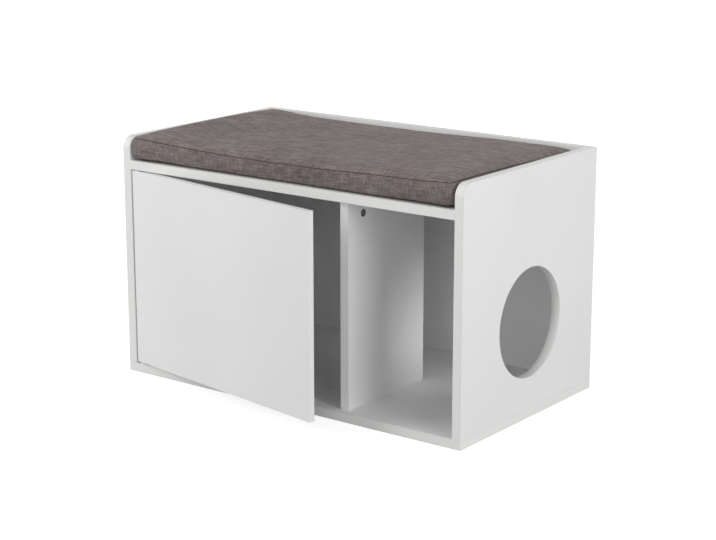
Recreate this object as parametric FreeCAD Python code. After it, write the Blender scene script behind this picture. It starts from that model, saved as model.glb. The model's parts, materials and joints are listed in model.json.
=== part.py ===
import FreeCAD, Part

import math
import os

from FreeCAD import Vector

# Cat litter box cabinet with a cushioned bench top, in millimetres.
# The origin is the centre of the base panel's underside: +X right, +Y to the back, +Z up.

# ---- overall sizes ----
cabinet_width = 800.0
cabinet_depth = 455.0
base_thickness = 18.0
bay_height = 396.0              # clear height of the bays, base to seat
seat_thickness = 18.0
side_rise = 46.0                # side and back tops above the seat
side_thickness = 18.0
back_thickness = 18.0
side_corner_radius = 24.0       # front top corner of each side panel

# ---- partition and right bay ----
partition_thickness = 18.0
right_bay_width = 240.0
partition_depth = 240.0         # front to rear edge; a passage stays behind it

# ---- entry hole in the right side panel ----
entry_diameter = 210.0
entry_centre_height = 184.0     # above the floor
entry_centre_back = 227.5       # behind the cabinet's front

# ---- door ----
door_thickness = 12.0
door_side_gap = 2.5             # at the hinge edge
door_top_gap = 2.0
door_bottom_gap = 3.0
door_free_gap = 2.0             # free edge to the partition's right face
door_rear_gap = 2.5             # rear face, closed, to the partition's front edge
door_rest_angle = 10.0          # degrees ajar, as photographed
pivot_edge_distance = 12.0      # pivot axis from the door's hinge edge

# ---- pivots ----
pin_radius = 2.5
pin_in_door = 12.0
pin_in_bush = 8.0
running_clearance = 0.08        # pin in bush, radial
press_clearance = 0.05          # pressed or screwed pieces in their holes, radial
bush_radius = 4.0
bush_length = 10.0
bush_flange_radius = 5.5
lower_flange_thickness = 2.0
upper_flange_thickness = 1.2

# ---- magnetic catch ----
catch_from_free_edge = 110.0    # catch centre to the door's free edge
catch_width = 46.0
catch_depth = 14.0
catch_height = 16.0
catch_ear_width = 10.0
catch_ear_thickness = 3.0
pole_width = 22.0
pole_thickness = 1.6
pole_gap = 4.0                  # between the two pole plates
pole_height = 11.0
pole_reach = 1.0                # pole plates in front of the housing
strike_width = 34.0
strike_height = 12.0
strike_thickness = 1.2
strike_air_gap = 0.3            # poles to strike plate, door closed
catch_screw_radius = 1.6
catch_screw_length = 13.0
strike_screw_length = 9.0
small_head_radius = 3.0
small_head_height = 1.4

# ---- cam fittings ----
cam_setback = 29.0              # joint face to the cam's axis
cam_radius = 7.4
cam_pocket_radius = 7.5
cam_height = 13.0
cam_pocket_depth = 13.5
cam_head_room = 3.7             # radius of the cam's hollow for the bolt's head
cam_recess_length = 8.0
cam_recess_width = 1.4
cam_recess_depth = 2.0
cam_rim = 1.1
bolt_hole_radius = 4.0
bolt_shank_radius = 3.9
bolt_neck_radius = 2.0
bolt_head_radius = 3.4
bolt_thread_radius = 2.5
bolt_thread_length = 11.0
partition_cam_inset = 46.0      # partition's front edge to the cam's axis
seat_cam_inset = 60.0           # seat cams from the seat's front and rear edges
back_cam_low = 90.0             # back cams above the base panel
back_cam_high = 350.0
seat_rear_cam_spread = 420.0    # between the two rear seat cams

# ---- dowels ----
dowel_radius = 4.0
dowel_length = 30.0
dowel_in_face = 11.0            # of its length, in the board's face
dowel_end_clearance = 1.0
dowel_offset = 32.0             # beside a cam or a screw

# ---- base screws ----
screw_radius = 2.5
screw_length = 48.0
screw_head_radius = 4.6
screw_head_height = 3.2
screw_sink = 0.4                # head below the base's underside
screw_end_inset = 50.0          # from the front and rear edges
screw_recess = 2.0

# ---- cushion ----
cushion_side_gap = 3.0
cushion_back_gap = 3.0
cushion_front_setback = 5.0
cushion_seat_clearance = 0.3
cushion_seam_height = 38.0      # top seam above the seat
cushion_crown = 11.0            # crown above the seam
cushion_draw_in = 5.0           # each side's middle pulled in between the corners
cushion_corner_radius = 14.0

# ---- planes and edges that follow from the sizes above ----
left = -cabinet_width / 2
right = cabinet_width / 2
front = -cabinet_depth / 2
rear = cabinet_depth / 2
inner_left = left + side_thickness
inner_right = right - side_thickness
inner_rear = rear - back_thickness
seat_underside = base_thickness + bay_height
seat_top = seat_underside + seat_thickness
cabinet_top = seat_top + side_rise
partition_right = inner_right - right_bay_width
partition_left = partition_right - partition_thickness
partition_front = front + door_thickness + door_rear_gap
partition_rear = partition_front + partition_depth

door_left = inner_left + door_side_gap
door_right = partition_right - door_free_gap
door_bottom = base_thickness + door_bottom_gap
door_top = seat_underside - door_top_gap
door_rear = front + door_thickness
pivot_x = door_left + pivot_edge_distance
pivot_y = front + door_thickness / 2

entry_y = front + entry_centre_back
strike_rear = door_rear + strike_thickness
catch_front = strike_rear + strike_air_gap + pole_reach
catch_rear = catch_front + catch_depth
catch_x = door_right - catch_from_free_edge
catch_mid_height = base_thickness + catch_height / 2

x_axis = Vector(1, 0, 0)
y_axis = Vector(0, 1, 0)
z_axis = Vector(0, 0, 1)


# ---- basic shapes ----
def block(x_range, y_range, z_range):
    size = [high - low for low, high in (x_range, y_range, z_range)]
    corner = Vector(x_range[0], y_range[0], z_range[0])
    return Part.makeBox(*size, corner)


def rod(radius, length, start, direction):
    return Part.makeCylinder(radius, length, start, direction)


def cone(start_radius, end_radius, length, start, direction):
    return Part.makeCone(start_radius, end_radius, length, start, direction)


def joined(shapes):
    return shapes[0].fuse(shapes[1:]).removeSplitter()


def cross_recess(centre, direction, length, width, depth):
    """Two crossed slots sunk from a face at centre; direction points into the piece."""
    side = x_axis if abs(direction.x) < 0.5 else y_axis
    other = direction.cross(side)
    slots = []
    for along, across in ((side, other), (other, side)):
        reach = along * (length / 2) + across * (width / 2)
        near = centre - reach
        far = centre + reach + direction * depth
        ranges = [sorted(pair) for pair in zip(near, far)]
        slots.append(block(*ranges))
    return slots


# ---- joints between boards ----
class Joints:
    """Collects the holes that each board gets and the pieces that go into them."""

    def __init__(self):
        self.holes = {}
        self.pieces = {}

    def hole(self, board, *shapes):
        self.holes.setdefault(board, []).extend(shapes)

    def piece(self, node, shape):
        self.pieces.setdefault(node, []).append(shape)

    def cam(self, cam_board, bolt_board, cam_node, joint_point, into, cam_face):
        """A cam in cam_board pulls a bolt that is screwed into bolt_board.

        joint_point lies where the boards meet, on the bolt's axis; into points into
        bolt_board, and cam_face points out of the board's face that holds the cam.
        """
        board_half = self.half_thickness[cam_board]
        axis_point = joint_point - into * cam_setback
        face_point = axis_point + cam_face * board_half
        self.hole(cam_board, rod(cam_pocket_radius, cam_pocket_depth, face_point, -cam_face))
        self.hole(cam_board, rod(bolt_hole_radius, cam_setback, axis_point, into))
        self.hole(bolt_board, rod(bolt_thread_radius + press_clearance, bolt_thread_length + 0.5,
                                  joint_point, into))
        self.piece(cam_node, cam_lock(face_point, axis_point, into, cam_face))
        self.piece("cam_bolts", cam_bolt(joint_point, into))

    def dowel(self, edge_board, face_board, joint_point, into):
        """A dowel on the joint; into points into face_board."""
        hole_radius = dowel_radius + press_clearance
        in_edge = dowel_length - dowel_in_face
        self.hole(face_board, rod(hole_radius, dowel_in_face + dowel_end_clearance / 2, joint_point, into))
        self.hole(edge_board, rod(hole_radius, in_edge + dowel_end_clearance, joint_point, -into))
        self.piece("wooden_dowels", rod(dowel_radius, dowel_length, joint_point - into * in_edge, into))

    def base_screw(self, board, x, y):
        """A countersunk screw from under the base panel up into a standing board."""
        head_point = Vector(x, y, screw_sink)
        clear = screw_radius + press_clearance
        head_clear = screw_head_radius + press_clearance
        self.hole("base_panel", rod(clear, base_thickness, Vector(x, y, 0), z_axis))
        self.hole("base_panel", rod(head_clear, screw_sink, Vector(x, y, 0), z_axis))
        self.hole("base_panel", cone(head_clear, clear, screw_head_height, head_point, z_axis))
        depth = screw_length + screw_sink - base_thickness + 1.0
        self.hole(board, rod(clear, depth, Vector(x, y, base_thickness), z_axis))
        self.piece("base_screws", countersunk_screw(head_point, z_axis, screw_radius, screw_length,
                                                    screw_head_radius, screw_head_height, screw_recess))


def cam_lock(face_point, axis_point, into, cam_face):
    sink = (cam_pocket_depth - cam_height) / 2
    top = face_point - cam_face * sink
    body = rod(cam_radius, cam_height, top, -cam_face)
    dish = rod(cam_radius - cam_rim, 0.5, top, -cam_face)
    head_room = rod(cam_head_room, 2 * cam_head_room, axis_point - into * cam_head_room, into)
    neck_room = rod(bolt_neck_radius + 0.5, cam_radius + 1.0, axis_point, into)
    recess = cross_recess(top, -cam_face, cam_recess_length, cam_recess_width, cam_recess_depth)
    return body.cut([dish, head_room, neck_room] + recess)


def cam_bolt(joint_point, into):
    head_start = joint_point - into * (cam_setback + 1.5)
    neck_start = joint_point - into * (cam_setback - 1.5)
    shank_start = joint_point - into * (cam_setback - cam_radius - 1.0)
    head = rod(bolt_head_radius, 3.0, head_start, into)
    neck = rod(bolt_neck_radius, (shank_start - neck_start).Length, neck_start, into)
    shank = rod(bolt_shank_radius, (joint_point - shank_start).Length, shank_start, into)
    thread = rod(bolt_thread_radius, bolt_thread_length, joint_point, into)
    return joined([head, neck, shank, thread])


def countersunk_screw(head_point, direction, radius, length, head_radius, head_height, recess_depth):
    head = cone(head_radius, radius, head_height, head_point, direction)
    point_length = 1.6 * radius
    shank = rod(radius, length - point_length, head_point, direction)
    point = cone(radius, 0.3 * radius, point_length, head_point + direction * (length - point_length), direction)
    screw = joined([head, shank, point])
    return screw.cut(cross_recess(head_point, direction, 1.2 * head_radius, 0.3 * radius, recess_depth))


# ---- boards ----
def base_panel():
    return block((left, right), (front, rear), (0, base_thickness))


def side_panel(x_low):
    r = side_corner_radius
    centre_y = front + r
    centre_z = cabinet_top - r
    diagonal = r * math.sqrt(0.5)
    corner = Part.Arc(Vector(x_low, front, centre_z),
                      Vector(x_low, centre_y - diagonal, centre_z + diagonal),
                      Vector(x_low, centre_y, cabinet_top)).toShape()
    points = [Vector(x_low, centre_y, cabinet_top), Vector(x_low, rear, cabinet_top),
              Vector(x_low, rear, base_thickness), Vector(x_low, front, base_thickness),
              Vector(x_low, front, centre_z)]
    edges = [Part.LineSegment(a, b).toShape() for a, b in zip(points, points[1:])]
    outline = Part.Wire([corner] + edges)
    return Part.Face(outline).extrude(Vector(side_thickness, 0, 0))


def right_side_panel():
    hole = rod(entry_diameter / 2, side_thickness + 2, Vector(inner_right - 1, entry_y, entry_centre_height), x_axis)
    return side_panel(inner_right).cut(hole)


def back_panel():
    return block((inner_left, inner_right), (inner_rear, rear), (base_thickness, cabinet_top))


def seat_panel():
    return block((inner_left, inner_right), (front, inner_rear), (seat_underside, seat_top))


def partition_panel():
    return block((partition_left, partition_right), (partition_front, partition_rear),
                 (base_thickness, seat_underside))


def add_board_joints(joints):
    joints.half_thickness = {"seat_panel": seat_thickness / 2, "back_panel": back_thickness / 2,
                             "partition_panel": partition_thickness / 2}
    seat_mid = (seat_top + seat_underside) / 2
    back_mid = (rear + inner_rear) / 2
    partition_mid = (partition_left + partition_right) / 2
    sides = (("left_side_panel", inner_left, -x_axis, (left + inner_left) / 2),
             ("right_side_panel", inner_right, x_axis, (right + inner_right) / 2))

    for side, x, outward, side_mid in sides:
        for y, step in ((front + seat_cam_inset, 1), (inner_rear - seat_cam_inset, -1)):
            point = Vector(x, y, seat_mid)
            joints.cam("seat_panel", side, "seat_cam_locks", point, outward, -z_axis)
            joints.dowel("seat_panel", side, point + y_axis * (step * dowel_offset), outward)
        for height, step in ((back_cam_low, 1), (back_cam_high, -1)):
            point = Vector(x, back_mid, base_thickness + height)
            joints.cam("back_panel", side, "back_cam_locks", point, outward, y_axis)
            joints.dowel("back_panel", side, point + z_axis * (step * dowel_offset), outward)
        for y in (front + screw_end_inset, 0.0, rear - screw_end_inset):
            joints.base_screw(side, side_mid, y)

    for x in (-seat_rear_cam_spread / 2, seat_rear_cam_spread / 2):
        point = Vector(x, inner_rear, seat_mid)
        joints.cam("seat_panel", "back_panel", "seat_cam_locks", point, y_axis, -z_axis)
        joints.dowel("seat_panel", "back_panel", point + x_axis * math.copysign(dowel_offset, x), y_axis)

    for x in (inner_left + screw_end_inset, 0.0, inner_right - screw_end_inset):
        joints.base_screw("back_panel", x, back_mid)

    first = partition_front + partition_cam_inset
    last = partition_rear - partition_cam_inset
    for y, step in ((first, 1), (last, -1)):
        top_point = Vector(partition_mid, y, seat_underside)
        joints.cam("partition_panel", "seat_panel", "partition_cam_locks", top_point, z_axis, x_axis)
        joints.dowel("partition_panel", "seat_panel", top_point + y_axis * (step * dowel_offset), z_axis)
        joints.base_screw("partition_panel", partition_mid, y)


# ---- door and its pivots; the door is built closed and turned to its rest angle at the end ----
def door_panel():
    return block((door_left, door_right), (front, door_rear), (door_bottom, door_top))


def add_pivots(joints):
    levels = (("lower", base_thickness, door_bottom, z_axis, "base_panel", lower_flange_thickness),
              ("upper", seat_underside, door_top, -z_axis, "seat_panel", upper_flange_thickness))
    for name, board_level, door_level, to_door, board, flange_thickness in levels:
        board_point = Vector(pivot_x, pivot_y, board_level)
        door_point = Vector(pivot_x, pivot_y, door_level)
        joints.hole("door_panel", rod(pin_radius + press_clearance, pin_in_door + 0.5, door_point, to_door))
        gap = abs(door_level - board_level)
        pin_start = board_point - to_door * pin_in_bush
        pin = rod(pin_radius, pin_in_bush + gap + pin_in_door, pin_start, to_door)
        joints.piece(name + "_pivot_pin", pin)
        joints.hole(board, rod(bush_radius + press_clearance, bush_length + 0.5, board_point, -to_door))
        barrel = rod(bush_radius, bush_length, board_point, -to_door)
        flange = rod(bush_flange_radius, flange_thickness, board_point, to_door)
        bore_start = board_point - to_door * (pin_in_bush + 0.5)
        bore = rod(pin_radius + running_clearance, bush_length + flange_thickness, bore_start, to_door)
        joints.piece(name + "_pivot_bush", joined([barrel, flange]).cut(bore))


def catch_housing_shape():
    body_half = catch_width / 2 - catch_ear_width
    body = block((catch_x - body_half, catch_x + body_half), (catch_front, catch_rear),
                 (base_thickness, base_thickness + catch_height))
    ears = block((catch_x - catch_width / 2, catch_x + catch_width / 2), (catch_front + 2, catch_rear),
                 (base_thickness, base_thickness + catch_ear_thickness))
    return joined([body, ears])


def magnet_shapes():
    """A magnet held between two steel pole plates that reach out to the strike plate."""
    half = pole_width / 2
    z_range = (catch_mid_height - pole_height / 2, catch_mid_height + pole_height / 2)
    magnet_rear = catch_rear - 3.0
    magnet_z = (catch_mid_height - pole_gap / 2, catch_mid_height + pole_gap / 2)
    magnet = block((catch_x - half, catch_x + half), (catch_front, magnet_rear), magnet_z)
    plates = []
    for low in (magnet_z[0] - pole_thickness, magnet_z[1]):
        plates.append(block((catch_x - half, catch_x + half), (catch_front - pole_reach, magnet_rear),
                            (low, low + pole_thickness)))
    slot = block((catch_x - half - press_clearance, catch_x + half + press_clearance),
                 (catch_front, magnet_rear + press_clearance),
                 (magnet_z[0] - pole_thickness - press_clearance, magnet_z[1] + pole_thickness + press_clearance))
    return magnet, plates, slot


def add_catch(joints):
    magnet, plates, slot = magnet_shapes()
    housing = catch_housing_shape().cut(slot)
    screw_y = (catch_front + 2 + catch_rear) / 2
    ear_top = base_thickness + catch_ear_thickness
    clear = catch_screw_radius + press_clearance
    head_clear = small_head_radius + press_clearance
    for side in (-1, 1):
        x = catch_x + side * (catch_width - catch_ear_width) / 2
        head = Vector(x, screw_y, ear_top)
        housing = housing.cut([rod(clear, catch_ear_thickness, head, -z_axis),
                               cone(head_clear, clear, small_head_height, head, -z_axis)])
        depth = catch_screw_length - catch_ear_thickness + 0.5
        joints.hole("base_panel", rod(clear, depth, Vector(x, screw_y, base_thickness), -z_axis))
        joints.piece("catch_screws", countersunk_screw(head, -z_axis, catch_screw_radius, catch_screw_length,
                                                       small_head_radius, small_head_height, 0.9))
    joints.piece("catch_housing", housing)
    joints.piece("catch_magnet", magnet)
    for plate in plates:
        joints.piece("catch_pole_plates", plate)

    strike = block((catch_x - strike_width / 2, catch_x + strike_width / 2), (door_rear, strike_rear),
                   (catch_mid_height - strike_height / 2, catch_mid_height + strike_height / 2))
    strike_sink = min(small_head_height, strike_thickness)
    for side in (-1, 1):
        x = catch_x + side * (strike_width / 2 - 4.0)
        head = Vector(x, strike_rear, catch_mid_height)
        strike = strike.cut([rod(clear, strike_thickness, head, -y_axis),
                             cone(head_clear, clear, strike_sink, head, -y_axis)])
        joints.hole("door_panel", rod(clear, strike_screw_length, Vector(x, door_rear, catch_mid_height), -y_axis))
        joints.hole("door_panel", cone(clear + 0.3, clear, 0.3, Vector(x, door_rear, catch_mid_height), -y_axis))
        joints.piece("strike_screws", countersunk_screw(head, -y_axis, catch_screw_radius, strike_screw_length,
                                                        small_head_radius, strike_sink, 0.7))
    joints.piece("strike_plate", strike)


# ---- cushion ----
def drawn_in_outline(inset, z, draw_in):
    """The cushion's outline at height z: four rounded corners, the sides bowed inwards."""
    x_low = inner_left + cushion_side_gap + inset
    x_high = inner_right - cushion_side_gap - inset
    y_low = front + cushion_front_setback + inset
    y_high = inner_rear - cushion_back_gap - inset
    r = cushion_corner_radius
    x_mid = (x_low + x_high) / 2
    y_mid = (y_low + y_high) / 2
    k = r * (1 - math.sqrt(0.5))
    sides = (
        ((x_low + r, y_low), (x_mid, y_low + draw_in), (x_high - r, y_low), (x_high - k, y_low + k)),
        ((x_high, y_low + r), (x_high - draw_in, y_mid), (x_high, y_high - r), (x_high - k, y_high - k)),
        ((x_high - r, y_high), (x_mid, y_high - draw_in), (x_low + r, y_high), (x_low + k, y_high - k)),
        ((x_low, y_high - r), (x_low + draw_in, y_mid), (x_low, y_low + r), (x_low + k, y_low + k)),
    )
    edges = []
    for index, (start, middle, end, corner) in enumerate(sides):
        following = sides[(index + 1) % 4][0]
        edges.append(Part.Arc(Vector(*start, z), Vector(*middle, z), Vector(*end, z)).toShape())
        edges.append(Part.Arc(Vector(*end, z), Vector(*corner, z), Vector(*following, z)).toShape())
    return Part.Wire(edges)


def seat_cushion():
    bottom = seat_top + cushion_seat_clearance
    seam = seat_top + cushion_seam_height
    side_sections = [
        drawn_in_outline(3.0, bottom, 0.5 * cushion_draw_in),
        drawn_in_outline(0.6, bottom + 0.25 * cushion_seam_height, 0.8 * cushion_draw_in),
        drawn_in_outline(0.0, bottom + 0.55 * cushion_seam_height, cushion_draw_in),
        drawn_in_outline(1.2, seam, cushion_draw_in),
    ]
    crown_sections = [
        drawn_in_outline(1.2, seam, cushion_draw_in),
        drawn_in_outline(16.0, seam + 0.34 * cushion_crown, 0.8 * cushion_draw_in),
        drawn_in_outline(55.0, seam + 0.68 * cushion_crown, 0.5 * cushion_draw_in),
        drawn_in_outline(110.0, seam + 0.92 * cushion_crown, 0.3 * cushion_draw_in),
        drawn_in_outline(160.0, seam + cushion_crown, 0.1 * cushion_draw_in),
    ]
    sides = Part.makeLoft(side_sections, True, True)
    crown = Part.makeLoft(crown_sections, True, True)
    return sides.fuse(crown)


# ---- assembly ----
def turned_to_rest(shape):
    turned = shape.copy()
    turned.rotate(Vector(pivot_x, pivot_y, 0), z_axis, -door_rest_angle)
    return turned


def write_node(name, shapes):
    shape = shapes[0] if len(shapes) == 1 else Part.makeCompound(shapes)
    if not shape.isValid():
        raise ValueError(name + " is not a valid shape")
    shape.exportStep("parts/" + name + ".step")


def main():
    os.makedirs("parts", exist_ok=True)
    joints = Joints()
    add_board_joints(joints)
    add_pivots(joints)
    add_catch(joints)
    boards = {
        "base_panel": base_panel(),
        "left_side_panel": side_panel(left),
        "right_side_panel": right_side_panel(),
        "back_panel": back_panel(),
        "seat_panel": seat_panel(),
        "partition_panel": partition_panel(),
        "door_panel": door_panel(),
    }
    nodes = {name: [board.cut(joints.holes[name])] for name, board in boards.items()}
    nodes.update(joints.pieces)
    nodes["seat_cushion"] = [seat_cushion()]
    for name in ("door_panel", "upper_pivot_pin", "lower_pivot_pin", "strike_plate", "strike_screws"):
        nodes[name] = [turned_to_rest(shape) for shape in nodes[name]]
    for name, shapes in nodes.items():
        write_node(name, shapes)
        count = sum(len(shape.Solids) for shape in shapes)
        print(name, "solids", count, "volume", round(sum(shape.Volume for shape in shapes)))


main()
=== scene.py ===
import json
import math

import bpy
import numpy as np
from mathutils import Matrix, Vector


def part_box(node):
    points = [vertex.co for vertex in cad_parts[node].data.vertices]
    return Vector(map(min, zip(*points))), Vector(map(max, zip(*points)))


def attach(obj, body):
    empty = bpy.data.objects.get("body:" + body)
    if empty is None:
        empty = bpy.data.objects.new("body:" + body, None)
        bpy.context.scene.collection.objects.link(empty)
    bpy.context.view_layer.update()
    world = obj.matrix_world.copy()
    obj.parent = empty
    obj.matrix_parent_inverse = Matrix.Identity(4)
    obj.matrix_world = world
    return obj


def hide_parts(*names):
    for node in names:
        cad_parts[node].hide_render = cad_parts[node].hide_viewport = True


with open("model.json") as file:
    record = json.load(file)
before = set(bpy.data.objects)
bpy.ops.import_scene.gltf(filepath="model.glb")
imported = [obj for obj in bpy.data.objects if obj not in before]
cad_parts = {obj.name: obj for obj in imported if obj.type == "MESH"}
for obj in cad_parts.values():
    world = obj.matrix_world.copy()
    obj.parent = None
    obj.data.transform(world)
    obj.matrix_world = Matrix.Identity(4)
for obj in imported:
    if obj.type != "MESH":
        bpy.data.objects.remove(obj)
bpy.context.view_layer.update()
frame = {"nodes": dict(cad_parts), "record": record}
nodes = frame["nodes"]
print("frame loaded:", len(nodes), "nodes")

tiny = 1e-9         # keeps a division away from zero


# one material's node tree, with short calls for the nodes that the finishes share
class Shader:
    def __init__(self, name):
        self.material = bpy.data.materials.new(name)
        self.material.use_nodes = True
        self.tree = self.material.node_tree
        self.surface = self.tree.nodes["Principled BSDF"]

    def node(self, kind, **settings):
        made = self.tree.nodes.new(kind)
        for key, value in settings.items():
            setattr(made, key, value)
        return made

    def link(self, source, target):
        self.tree.links.new(source, target)

    # a socket gets either a link from another socket or a plain value
    def put(self, target, value):
        if isinstance(value, bpy.types.NodeSocket):
            self.link(value, target)
        else:
            target.default_value = value

    def math(self, operation, first, second=0.0, third=0.0):
        made = self.node("ShaderNodeMath", operation=operation)
        for socket, value in zip(made.inputs, (first, second, third)):
            self.put(socket, value)
        return made.outputs[0]

    def noise(self, vector, scale, detail=2.0, roughness=0.5, distortion=0.0):
        made = self.node("ShaderNodeTexNoise")
        self.put(made.inputs["Vector"], vector)
        made.inputs["Scale"].default_value = scale
        made.inputs["Detail"].default_value = detail
        made.inputs["Roughness"].default_value = roughness
        made.inputs["Distortion"].default_value = distortion
        return made.outputs["Fac"]

    # cloudy value between two levels; the contrast is the part of the noise that is spread over them
    def patches(self, vector, scale, detail, contrast, levels, roughness=0.5):
        return self.ranged(self.noise(vector, scale, detail, roughness), *contrast, *levels)

    def stretched(self, vector, scale):
        made = self.node("ShaderNodeVectorMath", operation="MULTIPLY")
        self.put(made.inputs[0], vector)
        made.inputs[1].default_value = scale
        return made.outputs[0]

    def ranged(self, value, fromLow, fromHigh, toLow, toHigh):
        made = self.node("ShaderNodeMapRange")
        for socket, entry in zip(made.inputs, (value, fromLow, fromHigh, toLow, toHigh)):
            self.put(socket, entry)
        return made.outputs[0]

    def mixed(self, factor, first, second):
        made = self.node("ShaderNodeMix", data_type="RGBA")
        self.put(made.inputs["Factor"], factor)
        self.put(made.inputs["A"], first)
        self.put(made.inputs["B"], second)
        return made.outputs["Result"]

    def bump(self, height, strength, distance):
        made = self.node("ShaderNodeBump")
        made.inputs["Strength"].default_value = strength
        made.inputs["Distance"].default_value = distance
        self.put(made.inputs["Height"], height)
        self.link(made.outputs["Normal"], self.surface.inputs["Normal"])

    def place(self):
        return self.node("ShaderNodeTexCoord").outputs["Object"]


def colour(red, green, blue):
    return (red, green, blue, 1.0)


# white melamine on the boards
boardLook = {
    "face": (0.80, 0.80, 0.80),
    "faceShade": (0.765, 0.765, 0.765),
    "clouding": {"scale": 3.0, "detail": 3.0, "contrast": (0.35, 0.65), "levels": (0.0, 1.0)},
    "edgeBand": (0.785, 0.781, 0.766),
    "edgeFacing": (0.80, 0.55),         # how squarely a point faces the board's side: still face, fully edge
    "jointLine": (0.36, 0.34, 0.31),
    "jointInset": 0.0008,               # from the board's face to the line where the edge band ends
    "jointWidth": 0.0005,
    "jointFade": (0.75, 0.35),          # where the line starts and where it is full, in joint widths
    "jointBreaks": {"scale": 35.0, "detail": 3.0, "contrast": (0.35, 0.6), "levels": (0.10, 0.45)},
    "wear": (0.66, 0.655, 0.64),
    "wearRadius": 0.0010,
    "wearTurn": (0.99, 0.90),           # agreement of rounded and plain normal: no wear, full wear
    "wearPatches": {"scale": 60.0, "detail": 4.0, "contrast": (0.45, 0.7), "levels": (0.05, 0.4)},
    # smudges in the gloss; the levels are the surface's roughness
    "gloss": {"scale": 14.0, "detail": 5.0, "roughness": 0.65, "contrast": (0.3, 0.7),
              "levels": (0.42, 0.52)},
    "specular": 0.30,
    "peelScale": 900.0,
    "peelDepth": 0.00004,
    "peelStrength": 0.35,
}

# how the door hangs: hinge axis seen from above, degrees ajar and thickness
doorStand = {"pivot": (-0.3675, -0.2215), "restAngle": 10.0, "thickness": 0.012}


# for each board: unit vector through its thickness, middle of the thickness and half of it
def boardPlanes():
    planes = {}
    for entry in frame["record"]["subparts"]:
        if entry["material_slot"] != "white_board" or entry["node"] == "door_panel":
            continue
        low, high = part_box(entry["node"])
        axis = min(range(3), key=lambda k: high[k] - low[k])
        direction = [0.0, 0.0, 0.0]
        direction[axis] = 1.0
        planes[entry["node"]] = (direction, (low[axis] + high[axis]) / 2, (high[axis] - low[axis]) / 2)
    turn = math.radians(doorStand["restAngle"])
    direction = [math.sin(turn), math.cos(turn), 0.0]
    middle = sum(d * c for d, c in zip(direction, doorStand["pivot"]))
    planes["door_panel"] = (direction, middle, doorStand["thickness"] / 2)
    return planes


def makeBoardMaterial(name, direction, middle, half):
    look = boardLook
    s = Shader("whiteMelamine_" + name)
    where = s.place()
    cloud = s.patches(where, **look["clouding"])
    face = s.mixed(cloud, colour(*look["face"]), colour(*look["faceShade"]))

    # how far a vector reaches along the board's thickness
    def along(vector):
        made = s.node("ShaderNodeVectorMath", operation="DOT_PRODUCT")
        s.link(vector, made.inputs[0])
        made.inputs[1].default_value = direction
        return made.outputs["Value"]

    # edges carry a glued band; its joint shows as a hair line just inside both faces
    facing = s.math("ABSOLUTE", along(s.node("ShaderNodeTexCoord").outputs["Normal"]))
    onEdge = s.ranged(facing, *look["edgeFacing"], 0.0, 1.0)
    depth = s.math("SUBTRACT", half, s.math("ABSOLUTE", s.math("SUBTRACT", along(where), middle)))
    fromJoint = s.math("ABSOLUTE", s.math("SUBTRACT", depth, look["jointInset"]))
    lineStart, lineFull = (look["jointWidth"] * share for share in look["jointFade"])
    line = s.ranged(fromJoint, lineStart, lineFull, 0.0, 1.0)
    broken = s.patches(where, **look["jointBreaks"])
    band = s.mixed(s.math("MULTIPLY", line, broken), colour(*look["edgeBand"]), colour(*look["jointLine"]))
    base = s.mixed(onEdge, face, band)
    # the bevel node's normal differs from the face's only along an arris, where the foil is rubbed
    rounded = s.node("ShaderNodeBevel", samples=4)
    rounded.inputs["Radius"].default_value = look["wearRadius"]
    agree = s.node("ShaderNodeVectorMath", operation="DOT_PRODUCT")
    s.link(rounded.outputs[0], agree.inputs[0])
    s.link(s.node("ShaderNodeNewGeometry").outputs["Normal"], agree.inputs[1])
    arris = s.ranged(agree.outputs["Value"], *look["wearTurn"], 0.0, 1.0)
    rubbed = s.math("MULTIPLY", arris, s.patches(where, **look["wearPatches"]))
    s.link(s.mixed(rubbed, base, colour(*look["wear"])), s.surface.inputs["Base Color"])
    s.link(s.patches(where, **look["gloss"]), s.surface.inputs["Roughness"])
    s.surface.inputs["Specular IOR Level"].default_value = look["specular"]
    s.bump(s.noise(where, look["peelScale"], detail=1.0), look["peelStrength"], look["peelDepth"])
    return s.material


# taupe linen-look cloth on the cushion
clothLook = {
    "dark": (0.096, 0.076, 0.071),
    "middle": (0.199, 0.166, 0.158),
    "light": (0.322, 0.281, 0.267),
    # dark of the seams; along the cushion's lower edge it also paints the shadow under the cushion
    "seam": (0.035, 0.028, 0.026),
    "seamShade": 0.90,
    "seamFull": 0.5,            # a point that carries this much of the seam-and-shadow mark has the seam colour in full
    "sidePaintedShade": 0.88,        # painted shade: the cloth off the top panel is made darker, as less light falls on the sides
    "topFacing": 0.62,          # a point is on the top or an end where its normal leans this much that way
    "endFacing": 0.72,
    "topOffset": 0.31,          # top and ends are cut from other stretches of the cloth
    "endOffset": 0.17,
    "slubLength": 0.032,
    "slubWidth": 0.0025,
    "warpSize": (1.15, 0.6),    # width and length in shares of the weft's slubs
    "fineSize": (0.5, 0.35),
    "slubNoise": {"detail": 3.0, "roughness": 0.6, "distortion": 0.15},
    "contrast": (0.30, 0.70),
    "slubShades": {"weft": 0.26, "warp": 0.24, "fine": 0.20, "patch": 0.14, "cloud": 0.10},
    "cloudScale": 11.0,
    "topPatch": (0.034, 0.010),         # uneven dye in the yarns: length along the weft, width across it
    "boxingPatch": (0.016, 0.014),
    "yarnPitch": 0.0011,
    "yarnDepth": 0.0004,
    "weaveHeight": 0.45,        # the weave and the weft's slubs in the bump, beside the warp's at one
    "weftHeight": 0.5,
    "puckerPitch": 0.017,
    "puckerDepth": 0.0022,
    "bumpStrength": 0.55,
    "roughness": 0.86,
    "specular": 0.18,
    "sheen": 0.06,
    "sheenRoughness": 0.5,
    "sheenTint": (0.95, 0.88, 0.85),
}


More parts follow.
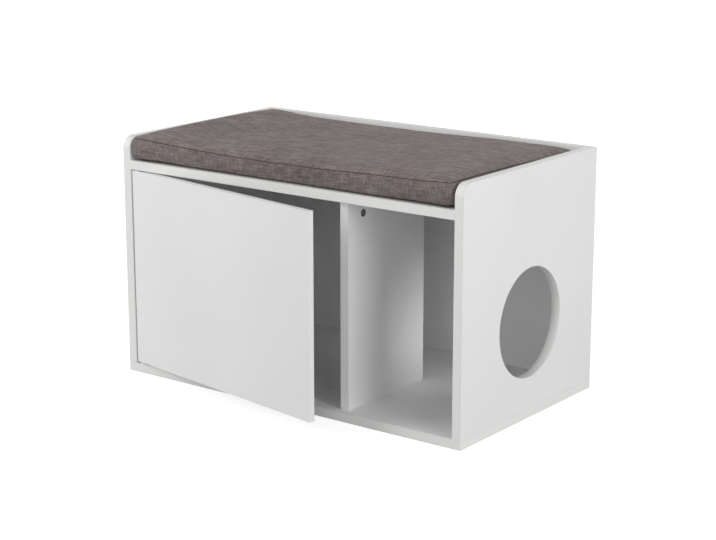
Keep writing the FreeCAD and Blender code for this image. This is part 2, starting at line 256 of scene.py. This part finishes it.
def makeClothMaterial():
    look = clothLook
    s = Shader("taupeSlubWeave")
    where = s.node("ShaderNodeSeparateXYZ")
    s.link(s.place(), where.inputs[0])
    facing = s.node("ShaderNodeSeparateXYZ")
    s.link(s.node("ShaderNodeTexCoord").outputs["Normal"], facing.inputs[0])
    # each panel of the cover is cut along its own edges, so the yarns follow the panel's two directions
    onTop = s.math("GREATER_THAN", s.math("ABSOLUTE", facing.outputs["Z"]), look["topFacing"])
    onEnd = s.math("GREATER_THAN", s.math("ABSOLUTE", facing.outputs["X"]), look["endFacing"])
    onEnd = s.math("MULTIPLY", onEnd, s.math("SUBTRACT", 1.0, onTop))

    def chosen(mask, yes, no):
        return s.math("MULTIPLY_ADD", s.math("SUBTRACT", yes, no), mask, no)

    along = chosen(onEnd, where.outputs["Y"], where.outputs["X"])
    across = chosen(onTop, where.outputs["Y"], where.outputs["Z"])
    panel = s.node("ShaderNodeCombineXYZ")
    s.link(along, panel.inputs["X"])
    s.link(across, panel.inputs["Y"])
    offset = s.math("MULTIPLY_ADD", onTop, look["topOffset"], s.math("MULTIPLY", onEnd, look["endOffset"]))
    s.link(offset, panel.inputs["Z"])

    # a noise as a shade between minus one and one
    def shade(noise):
        return s.ranged(noise, *look["contrast"], -1.0, 1.0)

    def slubs(lengthwise, widthShare=1.0, lengthShare=1.0):
        width = look["slubWidth"] * widthShare
        length = look["slubLength"] * lengthShare
        size = (1 / length, 1 / width, 1.0) if lengthwise else (1 / width, 1 / length, 1.0)
        return shade(s.noise(s.stretched(panel.outputs[0], size), 1.0, **look["slubNoise"]))

    def dyed(length, width):
        return s.noise(s.stretched(panel.outputs[0], (1 / length, 1 / width, 1.0)), 1.0, detail=2.0)

    weft = slubs(True)
    layers = {
        "weft": weft,
        "warp": slubs(False, *look["warpSize"]),
        "fine": slubs(True, *look["fineSize"]),
        "cloud": shade(s.noise(s.place(), look["cloudScale"], detail=4.0)),
        "patch": shade(chosen(onTop, dyed(*look["topPatch"]), dyed(*look["boxingPatch"]))),
    }
    rampMiddle = 0.5
    tone = rampMiddle
    for name, strength in look["slubShades"].items():
        tone = s.math("MULTIPLY_ADD", layers[name], strength, tone)
    ramp = s.node("ShaderNodeValToRGB")
    stops = ramp.color_ramp.elements
    stops[0].position = 0.0
    stops[0].color = colour(*look["dark"])
    stops[1].position = 1.0
    stops[1].color = colour(*look["light"])
    stops.new(rampMiddle).color = colour(*look["middle"])
    s.link(tone, ramp.inputs["Fac"])
    # painted shade: the boxing, ends and underside take a darker share of the cloth colour
    paintedSideShade = s.ranged(onTop, 0.0, 1.0, look["sidePaintedShade"], 1.0)
    cloth = s.node("ShaderNodeVectorMath", operation="SCALE")
    s.link(ramp.outputs["Color"], cloth.inputs[0])
    s.link(paintedSideShade, cloth.inputs["Scale"])
    # seam colour, also painted as the shadow line along the cushion's lower edge
    seam = s.node("ShaderNodeAttribute", attribute_name="seam").outputs["Fac"]
    seamAndShadowMix = s.math("MULTIPLY", s.ranged(seam, 0.0, look["seamFull"], 0.0, 1.0), look["seamShade"])
    s.link(s.mixed(seamAndShadowMix, cloth.outputs[0], colour(*look["seam"])), s.surface.inputs["Base Color"])
    s.surface.inputs["Roughness"].default_value = look["roughness"]
    s.surface.inputs["Specular IOR Level"].default_value = look["specular"]
    s.surface.inputs["Sheen Weight"].default_value = look["sheen"]
    s.surface.inputs["Sheen Roughness"].default_value = look["sheenRoughness"]
    s.surface.inputs["Sheen Tint"].default_value = colour(*look["sheenTint"])

    def yarnWave(position):
        return s.math("SINE", s.math("MULTIPLY", position, 2 * math.pi / look["yarnPitch"]))

    # small puckers run away from the seams, on top of the yarns
    weave = s.math("MULTIPLY", yarnWave(along), yarnWave(across))
    threads = s.math("MULTIPLY_ADD", weft, look["weftHeight"], layers["warp"])
    yarns = s.math("MULTIPLY_ADD", weave, look["weaveHeight"], threads)
    sideways = s.mixed(onTop, panel.outputs[0], s.place())
    creases = s.noise(s.stretched(sideways, (1 / look["puckerPitch"],) * 3), 1.0, detail=1.5)
    nearSeam = s.node("ShaderNodeAttribute", attribute_name="nearSeam").outputs["Fac"]
    puckerShare = look["puckerDepth"] / look["yarnDepth"]
    pucker = s.math("MULTIPLY", s.math("MULTIPLY", creases, nearSeam), puckerShare)
    s.bump(s.math("ADD", yarns, pucker), look["bumpStrength"], look["yarnDepth"])
    return s.material


# metal, nylon and magnet on the fittings
fittingLooks = {
    "zinc_alloy": {
        "name": "dullZinc",
        "light": (0.08, 0.077, 0.074),
        "dark": (0.03, 0.029, 0.028),
        "metal": 0.7,
        "roughness": (0.42, 0.60),
        "grain": 700.0,
        "depth": 0.00008,
        "recess": (0.75, 0.73, 0.70),       # lighter colour in a recess, found from how enclosed a point is
        "recessReach": 0.002,
    },
    "zinc_plated_steel": {
        "name": "platedSteel",
        "light": (0.62, 0.62, 0.60),
        "dark": (0.47, 0.46, 0.43),
        "metal": 1.0,
        "roughness": (0.26, 0.42),
        "grain": 500.0,
        "depth": 0.00003,
    },
    "white_nylon": {
        "name": "mouldedNylon",
        "light": (0.76, 0.76, 0.745),
        "dark": (0.69, 0.69, 0.67),
        "metal": 0.0,
        "roughness": (0.38, 0.52),
        "grain": 1200.0,
        "depth": 0.00003,
    },
    "ferrite": {
        "name": "ferriteMagnet",
        "light": (0.075, 0.075, 0.08),
        "dark": (0.04, 0.04, 0.042),
        "metal": 0.0,
        "roughness": (0.55, 0.75),
        "grain": 1500.0,
        "depth": 0.00006,
    },
}


def makeFittingMaterial(look):
    contrast = (0.3, 0.7)
    mottleScale = look["grain"] * 0.2
    glossScale = look["grain"] * 0.5
    openness = (0.75, 0.45)         # of a point at the lip of a recess and of one fully inside
    bumpStrength = 0.4
    s = Shader(look["name"])
    where = s.place()
    mottle = s.patches(where, mottleScale, 4.0, contrast, (0.0, 1.0))
    base = s.mixed(mottle, colour(*look["light"]), colour(*look["dark"]))
    if "recess" in look:
        hollow = s.node("ShaderNodeAmbientOcclusion", samples=6, only_local=True)
        hollow.inputs["Distance"].default_value = look["recessReach"]
        inRecess = s.ranged(hollow.outputs["AO"], *openness, 0.0, 1.0)
        base = s.mixed(inRecess, base, colour(*look["recess"]))
    s.link(base, s.surface.inputs["Base Color"])
    s.link(s.patches(where, glossScale, 2.0, contrast, look["roughness"]), s.surface.inputs["Roughness"])
    s.surface.inputs["Metallic"].default_value = look["metal"]
    s.bump(s.noise(where, look["grain"]), bumpStrength, look["depth"])
    return s.material


# bare wood of the dowels
beechLook = {
    "light": (0.60, 0.43, 0.27),
    "dark": (0.42, 0.27, 0.15),
    "grainScale": (40.0, 900.0, 900.0),
    "grainContrast": (0.35, 0.65),
    "grainDepth": 0.0001,
    "bumpStrength": 0.3,
    "roughness": 0.7,
}


def makeBeechMaterial():
    look = beechLook
    s = Shader("bareBeech")
    grain = s.noise(s.stretched(s.place(), look["grainScale"]), 1.0, detail=4.0, distortion=0.3)
    shade = s.ranged(grain, *look["grainContrast"], 0.0, 1.0)
    s.link(s.mixed(shade, colour(*look["light"]), colour(*look["dark"])), s.surface.inputs["Base Color"])
    s.surface.inputs["Roughness"].default_value = look["roughness"]
    s.bump(grain, look["bumpStrength"], look["grainDepth"])
    return s.material


materials = {"taupe_fabric": makeClothMaterial(), "beech": makeBeechMaterial()}
for slotName, slotLook in fittingLooks.items():
    materials[slotName] = makeFittingMaterial(slotLook)
boardMaterials = {name: makeBoardMaterial(name, *plane) for name, plane in boardPlanes().items()}
print("materials made:", len(materials) + len(boardMaterials))

# the boards and fittings keep their shape; edges get the small round that foil and machining leave
edgeRound = {
    "radius": {"white_board": 0.0006, "zinc_alloy": 0.00025, "white_nylon": 0.0003},
    "segments": 2,
    "sharpFrom": 50,                # degrees between two faces
    "weldReach": 0.000005,          # joins the points that lie double along an edge
}


def finishPieces():
    slotOf = {entry["node"]: entry["material_slot"] for entry in frame["record"]["subparts"]}
    for name, piece in nodes.items():
        slot = slotOf[name]
        piece.data.materials.clear()
        piece.data.materials.append(boardMaterials[name] if slot == "white_board" else materials[slot])
        if slot in edgeRound["radius"]:
            weld = piece.modifiers.new("joinSplitEdges", "WELD")
            weld.merge_threshold = edgeRound["weldReach"]
            bevel = piece.modifiers.new("roundEdges", "BEVEL")
            bevel.width = edgeRound["radius"][slot]
            bevel.segments = edgeRound["segments"]
            bevel.limit_method = "ANGLE"
            bevel.angle_limit = math.radians(edgeRound["sharpFrom"])
            bevel.harden_normals = True


finishPieces()
print("finishes on the boards and fittings")


# the seat cushion: a foam slab in a sewn box cover
cushionShape = {
    # how far the outline lies inside the space that the cushion has; below zero it stands out
    "inset": {"left": 0.0030, "right": 0.0060, "front": -0.0042, "rear": 0.0035},
    "underGap": 0.0004,         # from the bottom of that space up to the underside
    "cornerRadius": 0.016,
    "drawIn": {"ends": 0.0030, "front": 0.0010, "rear": 0.0035},        # between the corners
    # height of the top seam above the cushion's underside, along the front and along the rear
    "frontSeam": ((-0.379, 0.0435), (-0.30, 0.0395), (-0.20, 0.0341), (-0.12, 0.0327), (-0.03, 0.0323),
                  (0.05, 0.0329), (0.10, 0.0343), (0.15, 0.0361), (0.20, 0.0376), (0.25, 0.0389),
                  (0.30, 0.0406), (0.33, 0.0422), (0.355, 0.0438), (0.379, 0.0448)),
    "rearSeam": ((-0.379, 0.0450), (-0.33, 0.0428), (-0.24, 0.0370), (0.03, 0.0355), (0.24, 0.0390),
                 (0.30, 0.0390), (0.345, 0.0367), (0.379, 0.0339)),
    "topInset": 0.0005,
    "underInset": 0.0008,
    # rows of the boxing, as distance below the top seam in shares of the height, and inset
    "upperRows": ((0.03, 0.0001), (0.07, -0.0006), (0.14, -0.0014)),
    "lowerRows": ((0.82, -0.0012), (0.91, -0.0002), (0.97, 0.0005)),
    "bulgeRows": (0.27, 0.42, 0.57, 0.70),
    "bulge": 0.0026,            # boxing stands out between its seams
    "bulgeTurn": 1.05,          # above one, the bulge ends a little above the lower seam
    "boxingHeight": 0.037,
    "grid": 0.0062,
    "seamRows": (0.0, 0.0012, 0.0026, 0.0044, 0.0070, 0.0108),      # distances of the rows beside a seam
    "seamDepth": 0.0014,
    "seamReach": 0.009,         # puckers fade over this distance from a seam
    "paintedShadowRim": 0.0065,        # painted shadow: this much of the underside's edge is painted as dark as the seam
    # painted shadow: share of the seam colour on the lowest boxing row and on the underside's edge
    "rimPaintedShadow": 0.9,
    "crown": 0.0085,
    "crownLeft": 0.0105,
    "crownFrom": 0.030,         # points this far above the underside take the full crown
    "crownFade": {"front": 8, "rear": 3.5, "ends": 16},     # a higher power fades closer to that edge
    # slow hollows from use and from the way the foam lies, in radians per metre with a start
    "waves": 0.0009,
    "waveAlong": (13, 1.1),
    "waveAcross": (11, -0.4),
    "ripple": (29, 17),
    "rippleShare": 0.5,
    "frames": 20,
    "cap": 0.0050,
    "rimHold": 0.25,
    "cloth": {
        "quality": 5,
        "mass": 0.25,
        "tension_stiffness": 12,
        "compression_stiffness": 12,
        "shear_stiffness": 6,
        "bending_stiffness": 0.6,
        "use_pressure": True,
        "uniform_pressure_force": 1.6,
        "pin_stiffness": 0.6,
        "shrink_min": -0.012,
    },
}


# smooth curve through the points of a table
def heightAlong(table, x):
    places, heights = (np.array(column) for column in zip(*table))
    gap = np.diff(places)
    slope = np.diff(heights) / gap
    tangent = np.zeros(len(places))
    for k in range(1, len(places) - 1):
        if slope[k - 1] * slope[k] > 0:
            tangent[k] = 2 * slope[k - 1] * slope[k] / (slope[k - 1] + slope[k])
    x = np.clip(x, places[0], places[-1])
    k = np.clip(np.searchsorted(places, x) - 1, 0, len(gap) - 1)
    t = (x - places[k]) / gap[k]
    return (heights[k] * (2 * t ** 3 - 3 * t ** 2 + 1) + heights[k + 1] * (3 * t ** 2 - 2 * t ** 3)
            + gap[k] * (tangent[k] * (t ** 3 - 2 * t ** 2 + t) + tangent[k + 1] * (t ** 3 - t ** 2)))


# positions from minus half to half, close together at both ends, where the seams are
def gradedLine(half):
    near = cushionShape["seamRows"]
    inner = half - near[-1]
    even = np.linspace(-inner, inner, round(2 * inner / cushionShape["grid"]) + 1)
    return np.concatenate([[-half + n for n in near[:-1]], even, [half - n for n in reversed(near[:-1])]])


# moves points of a rectangle's corner squares onto the quarter discs of rounded corners
def roundCorners(x, y, halfWidth, halfDepth, radius):
    dx = np.abs(x) - (halfWidth - radius)
    dy = np.abs(y) - (halfDepth - radius)
    inCorner = (dx > 0) & (dy > 0)
    scale = np.where(inCorner, np.maximum(dx, dy) / np.maximum(np.hypot(dx, dy), tiny), 1.0)
    roundX = np.sign(x) * (halfWidth - radius + dx * scale)
    roundY = np.sign(y) * (halfDepth - radius + dy * scale)
    return np.where(inCorner, roundX, x), np.where(inCorner, roundY, y)


class CushionCover:
    def __init__(self):
        shape = cushionShape
        low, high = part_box("seat_cushion")
        inset = shape["inset"]
        left, right = low.x + inset["left"], high.x - inset["right"]
        front, rear = low.y + inset["front"], high.y - inset["rear"]
        self.centre = np.array([(left + right) / 2, (front + rear) / 2])
        self.half = np.array([(right - left) / 2, (rear - front) / 2])
        self.base = low.z + shape["underGap"]
        self.cut()

    def seamHeight(self, x, y):
        share = (y + self.half[1]) / (2 * self.half[1])
        return (heightAlong(cushionShape["frontSeam"], x) * (1 - share)
                + heightAlong(cushionShape["rearSeam"], x) * share)

    # points at a share of the height between underside and seam, moved inwards from the outline
    def points(self, x, y, share, inset):
        px, py = roundCorners(x, y, self.half[0], self.half[1], cushionShape["cornerRadius"])
        height = self.base + share * self.seamHeight(px, py)
        drawIn = cushionShape["drawIn"]
        alongX, alongY = px / self.half[0], py / self.half[1]
        px = px - drawIn["ends"] * alongX * (1 - alongY ** 2)
        py = py - np.where(py < 0, drawIn["front"], drawIn["rear"]) * alongY * (1 - alongX ** 2)
        return np.stack([px * (1 - inset / self.half[0]) + self.centre[0],
                         py * (1 - inset / self.half[1]) + self.centre[1], height], axis=-1)

    # top panel, underside panel and the boxing between them, as one closed cover
    def cut(self):
        shape = cushionShape
        xs = gradedLine(self.half[0])
        ys = gradedLine(self.half[1])
        gridX, gridY = (plane.ravel() for plane in np.meshgrid(xs, ys))
        columns, rows = len(xs), len(ys)
        count = columns * rows
        rim = list(range(columns))
        rim += [j * columns + columns - 1 for j in range(1, rows)]
        rim += [(rows - 1) * columns + i for i in range(columns - 2, -1, -1)]
        rim += [j * columns for j in range(rows - 2, 0, -1)]
        rim = np.array(rim)
        blocks = [self.points(gridX, gridY, 1.0, shape["topInset"]),
                  self.points(gridX, gridY, 0.0, shape["underInset"])]
        faces = []
        for j in range(rows - 1):
            for i in range(columns - 1):
                a = j * columns + i
                faces.append((a, a + 1, a + columns + 1, a + columns))
                faces.append((count + a + columns, count + a + columns + 1, count + a + 1, count + a))
        rowsDown = list(shape["upperRows"])
        for share in shape["bulgeRows"]:
            rowsDown.append((share, -shape["bulge"] * math.sin(math.pi * share * shape["bulgeTurn"])))
        rowsDown += shape["lowerRows"]
        rings = [rim]
        for k, (share, inset) in enumerate(rowsDown):
            blocks.append(self.points(gridX[rim], gridY[rim], 1 - share, inset))
            rings.append(2 * count + k * len(rim) + np.arange(len(rim)))
        rings.append(count + rim)
        for upper, lower in zip(rings[:-1], rings[1:]):
            faces += list(zip(upper, lower, np.roll(lower, -1), np.roll(upper, -1)))
        vertices = np.concatenate(blocks)
        mesh = bpy.data.meshes.new("seatCushionCover")
        mesh.from_pydata(vertices.tolist(), [], [tuple(int(i) for i in face) for face in faces])
        mesh.update()
        self.object = bpy.data.objects.new("seatCushionCover", mesh)
        bpy.context.scene.collection.objects.link(self.object)
        self.topRim = rim.tolist()

        # how much of the seam's dark colour each point takes, at the seams and as painted shadow along the
        # lower edge, and how close to a seam it lies
        seam = np.zeros(len(vertices))
        seam[rim] = 1.0
        seam[count + rim] = 1.0
        # the lowest boxing row holds the bottom seam and is painted dark as the shadow under the cushion
        seam[-len(rim):] = shape["rimPaintedShadow"]
        fromEdge = np.minimum(self.half[0] - np.abs(gridX), self.half[1] - np.abs(gridY))
        # painted shadow: the underside's edge within that reach is darkened like the seam
        paintedShadowBand = (fromEdge < shape["paintedShadowRim"]) * shape["rimPaintedShadow"]
        seam[count:2 * count] = np.maximum(seam[count:2 * count], paintedShadowBand)
        fromSeam = [min(share, 1 - share) * shape["boxingHeight"] for share, inset in rowsDown]
        distance = np.concatenate([fromEdge, fromEdge] + [np.full(len(rim), near) for near in fromSeam])
        self.store("seam", seam)
        self.store("nearSeam", np.exp(-distance / shape["seamReach"]))
        print("cushion cut:", len(vertices), "points")

    def store(self, name, values):
        layer = self.object.data.attributes.new(name, "FLOAT", "POINT")
        layer.data.foreach_set("value", values.astype(np.float32))

    def read(self, mesh):
        flat = np.empty(len(mesh.vertices) * 3)
        mesh.vertices.foreach_get("co", flat)
        return flat.reshape(-1, 3)

    def write(self, points):
        self.object.data.vertices.foreach_set("co", points.ravel())
        self.object.data.update()

    # the cover fills out under a light pressure, and no point moves further than the cap
    def inflate(self):
        shape = cushionShape
        rest = self.read(self.object.data)
        held = self.object.vertex_groups.new(name="held")
        held.add(self.topRim, shape["rimHold"], "REPLACE")
        cloth = self.object.modifiers.new("fill", "CLOTH")
        for name, value in shape["cloth"].items():
            setattr(cloth.settings, name, value)
        cloth.settings.vertex_group_mass = "held"
        cloth.settings.effector_weights.gravity = 0
        cloth.collision_settings.use_collision = False
        cloth.collision_settings.use_self_collision = False
        scene = bpy.context.scene
        for step in range(1, shape["frames"] + 1):
            scene.frame_set(step)
        filled = self.read(self.object.evaluated_get(bpy.context.evaluated_depsgraph_get()).data)
        self.object.modifiers.remove(cloth)
        self.object.vertex_groups.clear()
        scene.frame_set(1)
        shift = filled - rest
        length = np.linalg.norm(shift, axis=1, keepdims=True)
        capped = shape["cap"] * (1 - np.exp(-length / shape["cap"]))
        self.write(rest + shift * capped / np.maximum(length, tiny))
        print("cushion filled: furthest point", round(float(length.max()) * 1000, 1), "mm before the cap")

    # crown, slow hollows and the sunk seams
    def settle(self):
        shape = cushionShape
        mesh = self.object.data
        normals = np.array([v.normal[:] for v in mesh.vertices])
        points = self.read(mesh)
        seam = np.empty(len(mesh.vertices), np.float32)
        mesh.attributes["seam"].data.foreach_get("value", seam)
        x, y = points[:, 0], points[:, 1]
        u = (x - self.centre[0]) / self.half[0]
        v = (y - self.centre[1]) / self.half[1]
        top = np.clip((points[:, 2] - self.base) / shape["crownFrom"], 0, 1) ** 2
        power = shape["crownFade"]
        fade = np.where(v < 0, np.clip(-v, 0, 1) ** power["front"], np.clip(v, 0, 1) ** power["rear"])
        middle = (1 - np.clip(np.abs(u), 0, 1) ** power["ends"]) * (1 - fade)
        crown = shape["crown"] + (shape["crownLeft"] - shape["crown"]) * np.clip(-u, 0, 1) ** 2
        alongRate, alongStart = shape["waveAlong"]
        acrossRate, acrossStart = shape["waveAcross"]
        waves = np.sin(x * alongRate + alongStart) * np.cos(y * acrossRate + acrossStart)
        waves += shape["rippleShare"] * np.sin(x * shape["ripple"][0] + y * shape["ripple"][1])
        points[:, 2] += (crown + shape["waves"] * waves) * top * middle
        points[:, 2] = np.maximum(points[:, 2], self.base)
        points -= normals * (seam * shape["seamDepth"])[:, None]
        self.write(points)

    def finish(self):
        for polygon in self.object.data.polygons:
            polygon.use_smooth = True
        finer = self.object.modifiers.new("finer", "SUBSURF")
        finer.levels = finer.render_levels = 1
        self.object.data.materials.append(materials["taupe_fabric"])
        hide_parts("seat_cushion")
        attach(self.object, "cushion")


cover = CushionCover()
cover.inflate()
cover.settle()
cover.finish()
print("cushion in place")


# floor, background and light
studio = {
    "floorSize": 60.0,
    "floorDrop": 0.0005,            # keeps the floor clear of the base panel's underside
    "floorColour": (0.40, 0.40, 0.40),
    "floorRoughness": 0.9,
    "floorSpecular": 0.1,
    "floorGlow": (0.76, 1.0),       # near the object and far from it
    "glowRadius": (1.2, 4.0),
    "worldLevel": 0.35,             # of the light that it gives; seen directly it is white
    "lamps": {
        "leftSoftbox": {"at": (-3.2, -2.3, 1.7), "size": (2.2, 2.2), "watts": 97, "tint": (1.0, 1.0, 1.0)},
        "rightSoftbox": {"at": (3.8, -0.8, 1.15), "size": (2.2, 2.2), "watts": 80,
                         "tint": (0.985, 0.992, 1.0)},
        "fill": {"at": (1.2, -3.9, 1.35), "size": (2.2, 2.2), "watts": 26, "tint": (1.0, 1.0, 1.0)},
        "rearSoftbox": {"at": (-0.2, 4.1, 0.8), "size": (2.2, 1.6), "watts": 61, "tint": (1.0, 1.0, 1.0)},
        "overhead": {"at": (0.0, -0.2, 3.6), "size": (2.0, 1.6), "watts": 7, "tint": (1.0, 1.0, 1.0)},
    },
    "aim": (0.0, 0.0, 0.25),
}


# one where the camera looks at it, straight or by a reflection, and zero for the light it sheds
def seenDirectly(tree):
    rays = tree.nodes.new("ShaderNodeLightPath")
    seen = rays.outputs["Is Camera Ray"]
    for name in ("Is Glossy Ray", "Is Transmission Ray"):
        either = tree.nodes.new("ShaderNodeMath")
        either.operation = "MAXIMUM"
        tree.links.new(seen, either.inputs[0])
        tree.links.new(rays.outputs[name], either.inputs[1])
        seen = either.outputs[0]
    return seen


def makeFloor():
    half = studio["floorSize"] / 2
    corners = [(-half, -half, 0), (half, -half, 0), (half, half, 0), (-half, half, 0)]
    mesh = bpy.data.meshes.new("studioFloor")
    mesh.from_pydata(corners, [], [(0, 1, 2, 3)])
    floor = bpy.data.objects.new("studioFloor", mesh)
    floor.location.z = -studio["floorDrop"]
    bpy.context.scene.collection.objects.link(floor)
    s = Shader("studioFloorPaint")
    s.surface.inputs["Base Color"].default_value = colour(*studio["floorColour"])
    s.surface.inputs["Roughness"].default_value = studio["floorRoughness"]
    s.surface.inputs["Specular IOR Level"].default_value = studio["floorSpecular"]
    s.surface.inputs["Emission Color"].default_value = colour(1, 1, 1)
    away = s.node("ShaderNodeVectorMath", operation="LENGTH")
    s.link(s.place(), away.inputs[0])
    glow = s.ranged(away.outputs["Value"], *studio["glowRadius"], *studio["floorGlow"])
    s.link(s.math("MULTIPLY", seenDirectly(s.tree), glow), s.surface.inputs["Emission Strength"])
    floor.data.materials.append(s.material)


def makeWorld():
    world = bpy.data.worlds.new("studioWorld")
    bpy.context.scene.world = world
    world.use_nodes = True
    tree = world.node_tree
    background = tree.nodes["Background"]
    background.inputs["Color"].default_value = colour(1, 1, 1)
    level = tree.nodes.new("ShaderNodeMapRange")
    tree.links.new(seenDirectly(tree), level.inputs["Value"])
    level.inputs["To Min"].default_value = studio["worldLevel"]
    level.inputs["To Max"].default_value = 1.0
    tree.links.new(level.outputs[0], background.inputs["Strength"])


def makeLamps():
    for name, lamp in studio["lamps"].items():
        data = bpy.data.lights.new(name, "AREA")
        data.shape = "RECTANGLE"
        data.size, data.size_y = lamp["size"]
        data.energy = lamp["watts"]
        data.color = lamp["tint"]
        stand = bpy.data.objects.new(name, data)
        stand.location = lamp["at"]
        stand.rotation_mode = "QUATERNION"
        stand.rotation_quaternion = (Vector(studio["aim"]) - Vector(lamp["at"])).to_track_quat("-Z", "Y")
        stand.visible_camera = False
        bpy.context.scene.collection.objects.link(stand)


makeFloor()
makeWorld()
makeLamps()
print("studio lit")

# place, direction and lens were fitted to the photograph, without a shifted lens
cameraSetup = {
    "at": (2.0553, -2.7317, 1.0883),
    "azimuth": 36.90,
    "elevation": 14.216,
    "lens": 90.45,
    "sensor": 36.0,
    "nearest": 0.05,
}


def makeCamera():
    data = bpy.data.cameras.new("photoCamera")
    data.lens = cameraSetup["lens"]
    data.sensor_width = cameraSetup["sensor"]
    data.sensor_fit = "HORIZONTAL"
    data.clip_start = cameraSetup["nearest"]
    camera = bpy.data.objects.new("photoCamera", data)
    azimuth = math.radians(cameraSetup["azimuth"])
    elevation = math.radians(cameraSetup["elevation"])
    level = math.cos(elevation)
    back = Vector((math.sin(azimuth) * level, -math.cos(azimuth) * level, math.sin(elevation)))
    camera.location = cameraSetup["at"]
    camera.rotation_mode = "QUATERNION"
    camera.rotation_quaternion = (-back).to_track_quat("-Z", "Y")
    bpy.context.scene.collection.objects.link(camera)
    bpy.context.scene.camera = camera


makeCamera()
bpy.context.scene.view_settings.view_transform = "Standard"
print("camera set")
